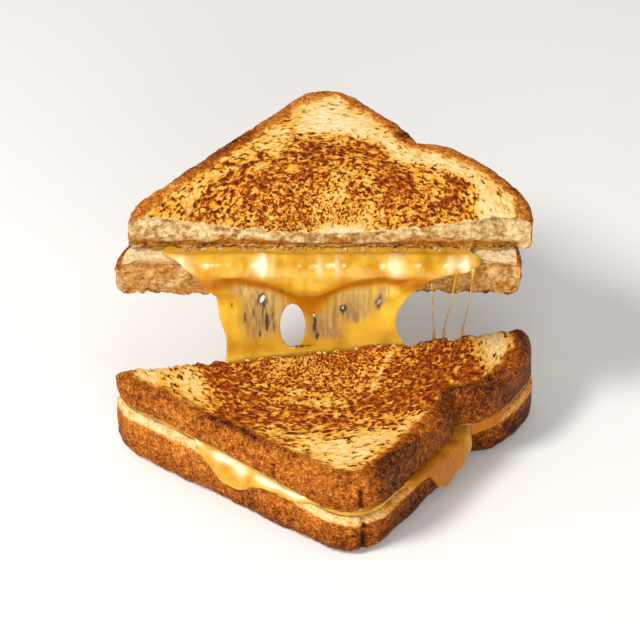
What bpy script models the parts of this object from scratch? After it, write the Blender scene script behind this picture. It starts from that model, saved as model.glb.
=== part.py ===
"""Grilled cheese sandwich cut corner to corner, its two halves pulled apart and joined by stretched cheese.

Metres, +Z up. Front is -Y: the lower half lies flat with its corner to the front, and the upper half
hangs above its rear edge with its corner to the back. The origin is on the floor, under the middle.
"""
import bpy
import numpy as np
from mathutils import Matrix

MM = 0.001

# The loaf: the side of its square slice, the radius of its baked corner, and the pinch below its crown
LOAF = 118.0 * MM
BAKED_CORNER = 17.0 * MM
PINCH_WIDE = 5.0 * MM
TOASTED_RIM = 5.0 * MM
INNER_RIM = 2.2 * MM

# The lower half lies flat, turned a little about the upright
LOWER_TURN = 9.4
LOWER_HIGH = 36.0 * MM
LOWER_SLICE = 16.5 * MM
LOWER_BED = 3.0 * MM
LOWER_STEP = 2.6 * MM
PRESSED_RISE = 6.2 * MM
PRESSED_FROM = 25.0 * MM
PRESSED_OVER = 85.0 * MM

# The upper half is raised and tipped towards the front
UPPER_TIP = 6.0
UPPER_AT = np.array([1.0, 2.0, 94.9]) * MM
UPPER_TOP_SLICE = 13.0 * MM
UPPER_BED = 2.5 * MM
UPPER_BOTTOM_SLICE = 13.0 * MM
UPPER_STEP = 7.5 * MM
UPPER_LEAN = 2.0 * MM
UPPER_SAG = 5.5 * MM

# The melted cheese, and the air left between it and the bread
AIR = 0.3 * MM
HOLE_HALF_WIDE = 4.7 * MM
HOLE_HALF_HIGH = 12.0 * MM
HOLE_AT = np.array([-11.6, 0.0, 49.7]) * MM
THREAD_THICK = 0.9 * MM

BREAD = (0.62, 0.30, 0.08)
CHEESE = (0.86, 0.46, 0.06)

for thing in list(bpy.data.objects):
    bpy.data.objects.remove(thing, do_unlink=True)


def coat(name, colour, rough):
    """A plain Principled material."""
    made = bpy.data.materials.new(name)
    made.use_nodes = True
    shader = made.node_tree.nodes["Principled BSDF"]
    shader.inputs["Base Color"].default_value = (*colour, 1.0)
    shader.inputs["Roughness"].default_value = rough
    return made


def turned(angle, axis):
    """The 3 by 3 matrix that turns by this angle in degrees about X (0) or Z (2)."""
    cos, sin = np.cos(np.radians(angle)), np.sin(np.radians(angle))
    if axis == 2:
        return np.array([[cos, -sin, 0], [sin, cos, 0], [0, 0, 1]])
    return np.array([[1, 0, 0], [0, cos, -sin], [0, sin, cos]])


def pressed(points):
    """Raises the seam of the lower half on its left side. Its top and its foot stay where they are."""
    part = np.clip((PRESSED_FROM - points[..., 0]) / PRESSED_OVER, 0, 1)
    seam = np.minimum(points[..., 2], LOWER_HIGH - points[..., 2]) / LOWER_SLICE
    rise = PRESSED_RISE * part * part * (3 - 2 * part) * np.clip(seam, 0, 1)
    return points + np.stack([0 * rise, 0 * rise, rise], axis=-1)


def lower(points):
    """From the lower half's own frame, whose v runs to its front corner, into the world."""
    flipped = np.asarray(points) * [1, -1, 1]
    return pressed(flipped @ turned(LOWER_TURN, 2).T + [0, 0, LOWER_HIGH])


def upper(points):
    """From the upper half's own frame, whose v runs to its rear corner, into the world."""
    return np.asarray(points) @ turned(UPPER_TIP, 0).T + UPPER_AT


def quarter(centre, radius, start, end, count):
    """Points and outward normals of an arc, its angles in degrees."""
    angle = np.radians(np.linspace(start, end, count))
    normal = np.stack([np.cos(angle), np.sin(angle)], axis=1)
    return np.array(centre) + radius * normal, normal


def crust_line(side, tip, pinch_at, pinch_deep, crown):
    """The crust of half a slice, from the left tip over the corner to the right tip, with its normals.

    Left is a straight side. On the right the pinch is a dent and the crown beyond it swells.
    """
    reach = side / np.sqrt(2)
    left = quarter([-(reach - np.sqrt(2) * tip), 0], tip, 180, 135, 5)
    peak = quarter([0, reach - np.sqrt(2) * BAKED_CORNER], BAKED_CORNER, 135, 45, 9)
    right = quarter([reach - np.sqrt(2) * tip, 0], tip, 45, 0, 5)
    along = np.linspace(0, 1, 6)[1:-1, None]
    west = left[0][-1] + (peak[0][0] - left[0][-1]) * along
    along = np.linspace(0, 1, 19)[1:-1, None]
    east = peak[0][-1] + (right[0][0] - peak[0][-1]) * along
    points = np.concatenate([left[0], west, peak[0], east, right[0]])
    normals = [left[1], np.repeat(left[1][-1:], len(west), 0), peak[1]]
    normals += [np.repeat(right[1][:1], len(east), 0), right[1]]
    normals = np.concatenate(normals)
    down = (points[:, 0] - points[:, 1] + reach) / np.sqrt(2) / side
    beyond = np.clip((down - pinch_at) / (1 - pinch_at), 0, 1)
    swell = crown * np.sin(np.pi * beyond**0.8) ** 0.8
    dent = pinch_deep * np.exp(-(((down - pinch_at) * side / PINCH_WIDE) ** 2))
    out = np.where(points[:, 0] > 0, swell - dent, 0)
    return points + normals * out[:, None], normals


def loops_solid(name, loops, place, material, smooth=False):
    """A closed solid from loops of the same count, the first and the last each filled by a fan."""
    loops = np.asarray(loops)
    rows, count = loops.shape[:2]
    ends = [loops[0].mean(axis=0), loops[-1].mean(axis=0)]
    points = np.concatenate([loops.reshape(-1, 3), ends])
    index = np.arange(rows * count).reshape(rows, count)
    after = np.roll(index, -1, axis=1)
    walls = np.stack([index[:-1], index[1:], after[1:], after[:-1]], axis=-1).reshape(-1, 4)
    first = np.stack([index[0], after[0], np.full(count, rows * count)], axis=-1)
    last = np.stack([after[-1], index[-1], np.full(count, rows * count + 1)], axis=-1)
    world = place(points)
    faces = walls.tolist() + first.tolist() + last.tolist()
    corners = np.array([[f[0], f[k], f[k + 1]] for f in faces for k in range(1, len(f) - 1)])
    if np.linalg.det(world[corners]).sum() < 0:
        faces = [f[::-1] for f in faces]
    mesh = bpy.data.meshes.new(name)
    mesh.from_pydata(world.tolist(), [], faces)
    mesh.materials.append(material)
    mesh.polygons.foreach_set("use_smooth", [smooth] * len(faces))
    made = bpy.data.objects.new(name, mesh)
    bpy.context.scene.collection.objects.link(made)
    return made


def slice_loops(crust, step, thick, outer, inner, outer_up, lean=0.0, sag=0.0, cut=15):
    """Loops down through half a slice: the toasted face, its worn rim, the crust and the inner rim.

    `step` moves it in its frame. The cut edge is straight and sharp, and `cut` points lie along it.
    `sag` lowers the upper face where the knife pressed, in the middle of the cut.
    """
    points, normals = crust
    edge = np.linspace(0, 1, cut + 2)[1:-1, None]
    points = np.concatenate([points, points[-1] + (points[0] - points[-1]) * edge])
    normals = np.concatenate([normals, np.zeros((cut, 2))])
    up, down = (outer, inner) if outer_up else (inner, outer)
    rings = (0.15, 0.35, 0.55, 0.75, 0.9)
    rows = [(up, 0, spread) for spread in rings]
    for angle in np.radians([0, 45, 90]):
        rows.append((up * (1 - np.sin(angle)), -up * (1 - np.cos(angle)), 1))
    for angle in np.radians([90, 45, 0]):
        rows.append((down * (1 - np.sin(angle)), -thick + down * (1 - np.cos(angle)), 1))
    rows += [(down, -thick, spread) for spread in rings[::-1]]
    middle = np.array([0, points[:, 1].max() * 0.38])
    loops = []
    for inset, high, spread in rows:
        plan = middle + (points - normals * inset - middle) * spread
        press = np.exp(-((plan[:, 1] / (18 * MM)) ** 2)) * np.clip(1 - (plan[:, 0] / (60 * MM)) ** 2, 0, 1)
        height = high - sag * press * (1 + high / thick)
        lean_by = lean * high / thick
        loops.append(np.stack([plan[:, 0], plan[:, 1] + lean_by, height], axis=1) + step)
    return loops


toast = coat("toasted bread", BREAD, 0.75)
melted = coat("melted cheese", CHEESE, 0.25)

# Lower half, bottom slice: it rests on the floor and steps out at the back, under the cheese
lower_side = LOAF + 3 * MM
lower_line = crust_line(lower_side, 20 * MM, 0.62, 4 * MM, 5 * MM)
lower_drop = LOWER_SLICE + LOWER_BED
lower_shift = np.array([-0.5 * MM, -LOWER_STEP, -lower_drop])
lower_bottom = slice_loops(lower_line, lower_shift, LOWER_SLICE, 4 * MM, INNER_RIM, False)
loops_solid("lower_bottom_slice", lower_bottom, lower, toast)

# Lower half, top slice
top_line = crust_line(LOAF, 16 * MM, 0.57, 4 * MM, 5.5 * MM)
top_shift = np.array([-1.0 * MM, 0, 0])
lower_top = slice_loops(top_line, top_shift, LOWER_SLICE, TOASTED_RIM, INNER_RIM, True)
loops_solid("lower_top_slice", lower_top, lower, toast)

# Upper half, bottom slice: it steps out at the cut, so that the cheese rolls over its edge
under_line = crust_line(LOAF - 4 * MM, 18 * MM, 0.42, 3.5 * MM, 7 * MM)
under_drop = UPPER_TOP_SLICE + UPPER_BED
under_shift = np.array([-4.0 * MM, -UPPER_STEP, -under_drop])
upper_bottom = slice_loops(
    under_line, under_shift, UPPER_BOTTOM_SLICE, 4 * MM, INNER_RIM, False, lean=UPPER_LEAN
)
loops_solid("upper_bottom_slice", upper_bottom, upper, toast)

# Upper half, top slice: its cut edge sags in the middle, where the knife pressed the crumb
over_line = crust_line(LOAF - 3.5 * MM, 20 * MM, 0.45, 2 * MM, 7 * MM)
upper_top = slice_loops(
    over_line, np.array([0, 0.7 * MM, 0]), UPPER_TOP_SLICE, 4 * MM, INNER_RIM, True, UPPER_LEAN, UPPER_SAG
)
loops_solid("upper_top_slice", upper_top, upper, toast)

# Cheese bed of the lower half: a thin sheet as wide as the bread, a little short of the crust. At two
# places it has run out between the slices, and hangs over the crust of the bottom one as a tongue.
bed_thick = LOWER_BED - 2 * AIR
bed_step = 1.5 * MM
bed_side = lower_side - (LOWER_STEP - bed_step) * np.sqrt(2)
bed_line = crust_line(bed_side, 20 * MM, 0.62 * lower_side / bed_side, 4 * MM, 5 * MM)
bed_shift = np.array([-0.5 * MM, -bed_step, -(LOWER_SLICE + AIR)])


def bump(part, start, end, peak):
    """Nothing outside start..end, rising smoothly to 1 at the peak."""
    up = np.clip((part - start) / (peak - start), 0, 1)
    down = np.clip((end - part) / (end - peak), 0, 1)
    least = np.minimum(up, down)
    return least * least * (3 - 2 * least)


def bed_loops(crust, shift, thick, tongues, count=84):
    """Loops over the top of the bed, round its edge and back under it.

    Each of `tongues` is its start, end and lowest place as parts of the crust line, and its drop and
    its thickness. The edge is first drawn out over the rim of the bread, and falls only beyond it.
    """
    points, normals = crust
    length = np.concatenate([[0], np.cumsum(np.linalg.norm(np.diff(points, axis=0), axis=1))])
    along = np.linspace(0, 1, count) * length[-1]
    points = np.stack([np.interp(along, length, points[:, k]) for k in (0, 1)], axis=1)
    normals = np.stack([np.interp(along, length, normals[:, k]) for k in (0, 1)], axis=1)
    part = along / length[-1]
    outward = np.zeros(count)
    falling = np.zeros(count)
    fat = np.zeros(count)
    for start, end, peak, drop, lip in tongues:
        swell = bump(part, start, end, peak)
        outward += np.clip(swell * 4, 0, 1)
        falling += drop * np.clip((swell - 0.3) / 0.7, 0, 1)
        fat += lip * np.clip(swell * 2, 0.3, 1) * (swell > 0)
    edge = np.linspace(0, 1, 17)[1:-1, None]
    points = np.concatenate([points, points[-1] + (points[0] - points[-1]) * edge])
    normals = np.concatenate([normals, np.zeros((15, 2))])
    outward, falling, fat = [np.concatenate([value, np.zeros(15)]) for value in (outward, falling, fat)]
    middle = np.array([0, points[:, 1].max() * 0.38])
    inset = 2.7 * MM
    loops = []
    for spread in (0.15, 0.35, 0.55, 0.75, 0.9, 1):
        plan = middle + (points - normals * inset - middle) * spread
        loops.append(np.column_stack([plan, np.zeros(len(plan))]) + shift)
    turn = np.radians([55, 20, -20, -55])
    plain_out = np.concatenate([[-1.9 * MM], -inset + 1.2 * MM * np.cos(turn), [-1.9 * MM, -2.1 * MM]])
    round_high = thick / 2 * (np.sin(turn) - 1)
    plain_high = np.concatenate([[-0.1 * MM], round_high, [-thick * 0.95, -thick * 0.97]])
    under = AIR + thick
    shape = [
        (0.0, 0.0, -0.1 * MM, 0.0),
        (0.85, AIR, -1.1 * MM, 0.0),
        (1.0, AIR, -under, -0.4),
        (0.9, AIR, -under, -0.8),
        (0.5, 3 * AIR, -under, -1.0),
        (0.0, 4 * AIR, -under, -0.9),
        (0.0, 4 * AIR, -under - 0.2 * MM, 0.0),
    ]
    for row, (lip_part, gap, start_high, fall_part) in enumerate(shape):
        out = plain_out[row] + (lip_part * fat + gap - plain_out[row]) * outward
        high = plain_high[row] + (start_high - plain_high[row]) * outward + fall_part * falling
        plan = points + normals * out[:, None]
        loops.append(np.column_stack([plan, high]) + shift)
    for spread in (1, 0.9, 0.75, 0.55, 0.35, 0.15):
        plan = middle + (points - normals * inset - middle) * spread
        loops.append(np.column_stack([plan, np.full(len(plan), -thick)]) + shift)
    return loops


tongues = [(0.17, 0.40, 0.26, 8 * MM, 2.6 * MM), (0.64, 0.86, 0.72, 12 * MM, 2.4 * MM)]
cheese = loops_solid("cheese", bed_loops(bed_line, bed_shift, bed_thick, tongues), lower, melted)

# Cheese bed of the upper half
raised_thick = UPPER_BED - 2 * AIR
raised_line = crust_line(LOAF - 12 * MM, 20 * MM, 0.44, 2.5 * MM, 5 * MM)
raised_shift = np.array([-1.5 * MM, -2.5 * MM, -(UPPER_TOP_SLICE + AIR)])
raised_rim = raised_thick / 2
raised = slice_loops(raised_line, raised_shift, raised_thick, raised_rim, raised_rim, True, cut=3)
raised_bed = loops_solid("raised_bed", raised, upper, melted)

# The pull: out of the upper bed, over the edge of its bottom slice in a thick roll, and down in a thin
# curtain to the back of the lower bed. Each row is its face, its back, its left and its right edge, in
# millimetres: the first rows as v, w in the upper half, the rest as y, z in the world at x = 0.
over_edge = np.array([
    [8.0, -13.35, 8.0, -15.15, -57.0, 49.0],
    [-1.8, -13.35, -1.8, -15.15, -60.0, 53.0],
    [-5.5, -13.0, -5.5, -15.15, -56.0, 55.0],
    [-9.5, -14.0, -7.7, -15.15, -52.5, 56.0],
    [-12.3, -17.5, -8.0, -16.2, -48.5, 42.0],
    [-13.2, -22.0, -8.95, -22.0, -45.5, 33.5],
    [-12.6, -26.0, -9.55, -26.0, -42.0, 31.0],
    [-11.6, -29.5, -9.9, -29.5, -40.5, 29.0],
])
hanging = np.array([
    [-4.6, 55.0, -2.9, 55.0, -38.5, 27.0, 0.04],
    [-2.4, 46.0, -0.6, 46.0, -36.4, 26.8, 0.09],
    [0.0, 38.0, 1.9, 38.0, -36.3, 28.5, 0.14],
    [0.4, 34.0, 2.4, 34.0, -36.8, 30.0, 0.1655],
    [0.4, 26.0, 2.6, 26.0, -39.0, 32.0, 0.1655],
    [0.4, 18.9, 3.2, 17.2, -41.0, 35.0, 0.1655],
    [-3.0, 18.7, -0.5, 17.4, -41.0, 35.0, 0.1655],
    [-8.0, 18.5, -8.0, 17.5, -40.0, 34.0, 0.1655],
])


def curtain_loops():
    """Each loop runs along the face of the pull from left to right and returns along its back.

    Its two long edges are rounded by drawing the face and the back together at the ends.
    """
    loops = []
    across = np.sin(np.linspace(-np.pi / 2, np.pi / 2, 15))
    fullness = np.sqrt(np.clip(1 - across**2, 0, 1)) ** 0.35
    for face_v, face_w, back_v, back_w, left, right in over_edge * MM:
        x = (left + right) / 2 + across * (right - left) / 2
        mid = np.array([face_v + back_v, face_w + back_w]) / 2
        half = np.array([face_v - back_v, face_w - back_w]) / 2
        face = np.stack([x, mid[0] + half[0] * fullness, mid[1] + half[1] * fullness], axis=1)
        back = np.stack([x, mid[0] - half[0] * fullness, mid[1] - half[1] * fullness], axis=1)
        loops.append(upper(np.concatenate([face, back[-2:0:-1]])))
    for face_y, face_z, back_y, back_z, left, right, skew in hanging:
        left, right = left * MM, right * MM
        x = (left + right) / 2 + across * (right - left) / 2
        mid = np.array([face_y + back_y, face_z + back_z]) / 2 * MM
        half = np.array([face_y - back_y, face_z - back_z]) / 2 * MM
        face = np.stack([x, mid[0] + half[0] * fullness, mid[1] + half[1] * fullness], axis=1)
        back = np.stack([x, mid[0] - half[0] * fullness, mid[1] - half[1] * fullness], axis=1)
        loop = np.concatenate([face, back[-2:0:-1]])
        loop[:, 1] += loop[:, 0] * skew
        loops.append(pressed(loop))
    return loops


pull = loops_solid("pull", curtain_loops(), np.asarray, melted)


# The oval hole torn in the curtain
oval = np.linspace(0, 2 * np.pi, 25)[:-1]
rim = np.stack([HOLE_HALF_WIDE * np.cos(oval), 0 * oval, HOLE_HALF_HIGH * np.sin(oval)], axis=1) + HOLE_AT
reach = np.array([0, 25 * MM, 0])
hole = loops_solid("hole", [rim - reach, rim + reach], np.asarray, melted)

for tool, what in ((raised_bed, "UNION"), (pull, "UNION"), (hole, "DIFFERENCE")):
    step = cheese.modifiers.new(tool.name, "BOOLEAN")
    step.object = tool
    step.operation = what
    step.solver = "EXACT"
    tool.hide_render = True
    tool.display_type = "WIRE"

# Cheese threads: they leave the right end of the roll and fall to the back of the lower bed
threads = np.array([
    [[39.5, -8.3, 71.5], [40.0, -5.5, 60.0], [40.6, 1.5, 48.0], [41.2, 8.3, 36.0], [41.4, 8.6, 20.5]],
    [[47.8, -7.9, 73.0], [46.4, -5.0, 60.0], [45.4, 2.5, 48.0], [44.9, 9.1, 36.0], [44.9, 9.3, 20.5]],
    [[54.2, -7.2, 74.0], [53.2, -4.5, 60.0], [52.6, 3.5, 48.0], [52.0, 10.3, 36.0], [51.8, 10.5, 20.5]],
]) * MM


def thread_loops(way):
    """Seven-sided rings square to a path, a third thicker at its two ends."""
    fine = np.linspace(0, len(way) - 1, 15)
    path = np.stack([np.interp(fine, np.arange(len(way)), way[:, k]) for k in range(3)], axis=1)
    heading = np.gradient(path, axis=0)
    heading /= np.linalg.norm(heading, axis=1, keepdims=True)
    side = np.cross(heading, [1, 0, 0])
    side /= np.linalg.norm(side, axis=1, keepdims=True)
    other = np.cross(heading, side)
    radius = THREAD_THICK / 2 * (1 + 0.35 * np.abs(np.linspace(-1, 1, 15)) ** 4)
    around = np.linspace(0, 2 * np.pi, 8)[:-1]
    ring = side[:, None] * np.cos(around)[:, None] + other[:, None] * np.sin(around)[:, None]
    return path[:, None] + radius[:, None, None] * ring


for number, way in enumerate(threads, 1):
    loops_solid(f"cheese_thread_{number}", thread_loops(way), np.asarray, melted, True)

# The origin: on the floor, under the middle of the whole
bpy.context.view_layer.update()
solids = [thing for thing in bpy.data.objects if thing.type == "MESH" and thing is not hole]
corners = np.array([list(vertex.co) for thing in solids for vertex in thing.data.vertices])
low, high = corners.min(axis=0), corners.max(axis=0)
offset = np.array([(low[0] + high[0]) / 2, (low[1] + high[1]) / 2, low[2]])
for thing in bpy.data.objects:
    if thing.type == "MESH":
        thing.data.transform(Matrix.Translation(-offset))
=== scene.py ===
import bpy
import numpy as np
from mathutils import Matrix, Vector


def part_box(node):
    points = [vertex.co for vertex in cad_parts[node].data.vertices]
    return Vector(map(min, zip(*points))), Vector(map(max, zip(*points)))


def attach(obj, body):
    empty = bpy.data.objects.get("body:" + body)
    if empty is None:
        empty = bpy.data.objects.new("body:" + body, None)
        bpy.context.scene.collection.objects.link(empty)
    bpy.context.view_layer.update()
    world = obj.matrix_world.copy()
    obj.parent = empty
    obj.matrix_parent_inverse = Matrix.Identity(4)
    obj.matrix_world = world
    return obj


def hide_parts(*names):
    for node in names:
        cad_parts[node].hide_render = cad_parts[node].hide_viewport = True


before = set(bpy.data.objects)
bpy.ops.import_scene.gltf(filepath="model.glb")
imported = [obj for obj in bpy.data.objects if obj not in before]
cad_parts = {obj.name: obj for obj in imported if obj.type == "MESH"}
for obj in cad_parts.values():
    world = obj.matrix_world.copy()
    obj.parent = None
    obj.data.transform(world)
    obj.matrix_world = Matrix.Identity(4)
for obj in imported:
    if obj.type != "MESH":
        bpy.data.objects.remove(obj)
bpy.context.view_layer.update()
MM = 0.001

# Lower half, bottom slice: the half of a thick slice of white sandwich bread, fried in butter on its
# under side. It lies flat and carries the rest. Its crust is rough and brown, its upper edge is the pale
# untoasted crumb, and it steps out at the back under the foot of the cheese.
LOAF = 118.0 * MM
BAKED_CORNER = 17.0 * MM
LOWER_TURN = 9.4
LOWER_HIGH = 36.0 * MM
LOWER_SLICE = 16.5 * MM
LOWER_BED = 3.0 * MM
LOWER_STEP = 2.6 * MM
PRESSED_RISE = 6.2 * MM
PRESSED_FROM = 25.0 * MM
PRESSED_OVER = 85.0 * MM
CRUST_POINTS = 310
INNER_ROUND = 2.2 * MM
MIDDLE = 0.38


def scatter(x, y, z, seed):
    """A fixed random number from 0 to 1 for each whole-number place: the bits are multiplied and folded."""
    x, y, z = [np.asarray(value).astype(np.int64).astype(np.uint32) for value in (x, y, z)]
    mixed = x * np.uint32(73856093) ^ y * np.uint32(19349663) ^ z * np.uint32(83492791)
    mixed = (mixed ^ np.uint32(seed * 9176 + 11)) * np.uint32(2654435761)
    mixed = (mixed ^ (mixed >> np.uint32(15))) * np.uint32(2246822519)
    mixed = (mixed ^ (mixed >> np.uint32(13))) * np.uint32(3266489917)
    return (mixed ^ (mixed >> np.uint32(16))).astype(np.float64) / 4294967295.0


def drift(points, size, seed):
    """Smooth noise from -1 to 1: random values on a lattice of this size, blended by t*t*(3 - 2t)."""
    scaled = points / size
    whole = np.floor(scaled)
    part = scaled - whole
    part = part * part * (3 - 2 * part)
    total = 0
    for corner in range(8):
        step = [corner & 1, corner >> 1 & 1, corner >> 2]
        value = scatter(*(whole[:, k] + step[k] for k in range(3)), seed)
        share = [part[:, k] if step[k] else 1 - part[:, k] for k in range(3)]
        total = total + value * share[0] * share[1] * share[2]
    return total * 2 - 1


def ragged(points, size, seed, octaves=4, fade=0.55):
    """Noise summed over octaves, each half the size of the one before and `fade` times as strong."""
    total, reach = 0, 0
    for octave in range(octaves):
        total = total + fade**octave * drift(points, size / 2**octave, seed + 31 * octave)
        reach += fade**octave
    return total / reach * 1.6


def bubbles(points, size, seed):
    """Distance to the nearest of many random points, in cell sizes: 0 in a bubble's middle."""
    scaled = points / size
    whole = np.floor(scaled)
    best = np.full(len(points), 9.0)
    for shift in np.ndindex(3, 3, 3):
        cell = whole + np.array(shift) - 1
        centre = np.stack([cell[:, k] + scatter(*cell.T, seed + 7 * k) for k in range(3)], axis=1)
        best = np.minimum(best, ((scaled - centre) ** 2).sum(axis=1))
    return np.sqrt(best)


def ease(value, low, high):
    """0 below low, 1 above high, and t*t*(3 - 2t) between. With low above high it falls instead."""
    part = np.clip((value - low) / (high - low), 0, 1)
    return part * part * (3 - 2 * part)


def hump(value, centre, half):
    """A bell: exp(-((value - centre) / half)**2)."""
    return np.exp(-(((value - centre) / half) ** 2))


def crust_line(side, tip, pinch_at, pinch_deep, crown, count):
    """The crust of half a slice in plan, from the left tip over the corner to the right tip.

    Arcs of radius `tip` end the two straight sides and one of the baked corner joins them. On the right
    side the pinch is a dent and the crown beyond it swells, both added along the normal. The line is
    then divided evenly. Returns the points, the normals and each point's part of the whole length.
    """
    reach = side / np.sqrt(2)
    flat = reach - np.sqrt(2) * tip
    peak = reach - np.sqrt(2) * BAKED_CORNER
    angle = np.radians(np.concatenate([np.linspace(180, 135, 60), np.linspace(135, 45, 120),
                                       np.linspace(45, 0, 60)]))
    normals = np.stack([np.cos(angle), np.sin(angle)], axis=1)
    centres = np.repeat([[-flat, 0.0], [0.0, peak], [flat, 0.0]], [60, 120, 60], axis=0)
    radius = np.repeat([tip, BAKED_CORNER, tip], [60, 120, 60])[:, None]
    bare = centres + radius * normals
    steps = np.linalg.norm(np.diff(bare, axis=0), axis=1)
    far = np.concatenate([[0], np.cumsum(steps)])
    even = np.linspace(0, far[-1], 3000)
    bare = np.stack([np.interp(even, far, bare[:, k]) for k in (0, 1)], axis=1)
    normals = np.stack([np.interp(even, far, normals[:, k]) for k in (0, 1)], axis=1)
    down = (bare[:, 0] - bare[:, 1] + reach) / np.sqrt(2) / side
    beyond = np.clip((down - pinch_at) / (1 - pinch_at), 0, 1)
    swell = crown * np.sin(np.pi * beyond**0.8) ** 0.8
    dent = pinch_deep * hump(down - pinch_at, 0, 5 * MM / side)
    points = bare + normals * np.where(bare[:, 0] > 0, swell - dent, 0)[:, None]
    far = np.concatenate([[0], np.cumsum(np.linalg.norm(np.diff(points, axis=0), axis=1))])
    even = np.linspace(0, far[-1], count)
    columns = [np.interp(even, far, line) for line in (*points.T, *normals.T)]
    return np.stack(columns[:2], axis=1), np.stack(columns[2:], axis=1), even / far[-1]


def turned(angle, axis):
    """The 3 by 3 matrix that turns by this angle in degrees about X (0) or Z (2)."""
    cos, sin = np.cos(np.radians(angle)), np.sin(np.radians(angle))
    if axis == 2:
        return np.array([[cos, -sin, 0], [sin, cos, 0], [0, 0, 1]])
    return np.array([[1, 0, 0], [0, cos, -sin], [0, sin, cos]])


def pressed(points):
    """Raises the seam of the lower half on its left side. Its top and its foot stay where they are."""
    seam = np.clip(np.minimum(points[..., 2], LOWER_HIGH - points[..., 2]) / LOWER_SLICE, 0, 1)
    rise = PRESSED_RISE * ease(PRESSED_FROM - points[..., 0], 0, PRESSED_OVER) * seam
    return points + np.stack([0 * rise, 0 * rise, rise], axis=-1)


def lower(points):
    """From the lower half's own frame, whose v runs to its front corner, into the world."""
    return pressed((points * [1, -1, 1]) @ turned(LOWER_TURN, 2).T + [0, 0, LOWER_HIGH]) - ORIGIN


def grid_normals(grid):
    """Outward normals of a grid closed along its columns: the cross product of its two differences."""
    along = np.roll(grid, -1, axis=1) - np.roll(grid, 1, axis=1)
    down = np.gradient(grid, axis=0)
    normal = np.cross(down, along)
    normal /= np.linalg.norm(normal, axis=2, keepdims=True) + 1e-12
    middle = grid.reshape(-1, 3).mean(axis=0)
    return normal * np.sign(((grid - middle) * normal).sum())


def build(name, points, faces, marks, material, slot, *nodes):
    """Puts a surface into the scene, closed and facing outwards, with one attribute for each mark."""
    faces = np.asarray(faces)
    tri = faces[:, :3] if faces.shape[1] == 3 else np.concatenate([faces[:, :3], faces[:, [0, 2, 3]]])
    real = tri[(tri[:, 0] != tri[:, 1]) & (tri[:, 1] != tri[:, 2]) & (tri[:, 0] != tri[:, 2])]
    if np.linalg.det(points[real]).sum() < 0:
        faces = faces[:, ::-1]
    mesh = bpy.data.meshes.new(name)
    mesh.from_pydata(points.tolist(), [], [list(dict.fromkeys(face)) for face in faces.tolist()])
    mesh.polygons.foreach_set("use_smooth", np.ones(len(mesh.polygons), bool))
    for mark, values in marks.items():
        layer = mesh.attributes.new(mark, "FLOAT_VECTOR" if values.ndim == 2 else "FLOAT", "POINT")
        layer.data.foreach_set("vector" if values.ndim == 2 else "value", values.astype(np.float32).ravel())
    mesh.materials.append(material)
    made = bpy.data.objects.new(name, mesh)
    bpy.context.scene.collection.objects.link(made)
    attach(made, "root")
    if nodes:
        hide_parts(*nodes)
    return made


def closed_faces(rows, count):
    """Quads of a grid closed along its columns, whose first and last rows are single points."""
    index = np.arange(rows * count).reshape(rows, count)
    index[0] = 0
    index[-1] = (rows - 1) * count
    after = np.roll(index, -1, axis=1)
    return np.stack([index[:-1], index[1:], after[1:], after[:-1]], axis=-1).reshape(-1, 4)


def half_slice(line, step, thick, outer, inner, outer_up, face_rows, lean=0.0, sag=0.0, cut=250):
    """Half a slice of bread as a grid: rows run from the middle of its upper face to that of its lower.

    Each row is (inset, height, spread): rings that spread over the upper face from MIDDLE of the way to
    the corner, a quarter round of radius `outer` or `inner` into the crust, down it, and back under.
    Columns follow the crust and return along the straight cut. `lean` slants the cut and `sag` lowers its
    upper edge where the knife pressed. Returns the grid in the half's frame and what each point is.
    """
    points, normals, part = line
    edge = np.linspace(0, 1, cut + 2)[1:-1, None]
    plan = np.concatenate([points, points[-1] + (points[0] - points[-1]) * edge])
    normals = np.concatenate([normals, normals[-1] + (normals[0] - normals[-1]) * edge])
    on_cut = np.arange(len(plan)) >= len(points)
    part = np.concatenate([part, 1 - edge[:, 0]])
    up, down = (outer, inner) if outer_up else (inner, outer)
    quarter = np.linspace(0, np.pi / 2, 9)
    rows_up, rows_down = (face_rows, 16) if outer_up else (16, face_rows)
    inset = [np.full(rows_up, up), up * (1 - np.sin(quarter[1:])), np.zeros(22)]
    inset += [down * (1 - np.sin(quarter[::-1][1:])), np.full(rows_down, down)]
    high = [np.zeros(rows_up), -up * (1 - np.cos(quarter[1:])), np.linspace(-up, down - thick, 24)[1:-1]]
    high += [-thick + down * (1 - np.cos(quarter[::-1])), np.full(rows_down - 1, -thick)]
    spread = [np.linspace(0, 1, rows_up), np.ones(8 + 22 + 8), np.linspace(1, 0, rows_down)]
    inset, high, spread = [np.concatenate(value)[:, None] for value in (inset, high, spread)]
    middle = np.array([0, plan[:, 1].max() * MIDDLE])
    flat = middle + (plan - normals * inset[..., None] - middle) * spread[..., None]
    press = hump(flat[..., 1], 0, 18 * MM) * np.clip(1 - (flat[..., 0] / (60 * MM)) ** 2, 0, 1)
    height = high - sag * press * (1 + high / thick)
    grid = np.stack([flat[..., 0], flat[..., 1] + lean * high / thick, height], axis=2)
    rows = len(high)
    side = (np.arange(rows) >= rows_up) & (np.arange(rows) < rows - rows_down)
    facts = {
        "face": np.broadcast_to((np.arange(rows) < rows_up + 2 if outer_up else
                                 np.arange(rows) >= rows - rows_down - 2)[:, None], flat.shape[:2]),
        "cut": side[:, None] & on_cut,
        "side": side[:, None] & ~on_cut,
        "on_cut": np.broadcast_to(on_cut, flat.shape[:2]),
        "part": np.broadcast_to(part, flat.shape[:2]),
        "deep": np.broadcast_to(-high / thick, flat.shape[:2]),
        "plan": flat,
    }
    return grid + step, facts


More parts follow.
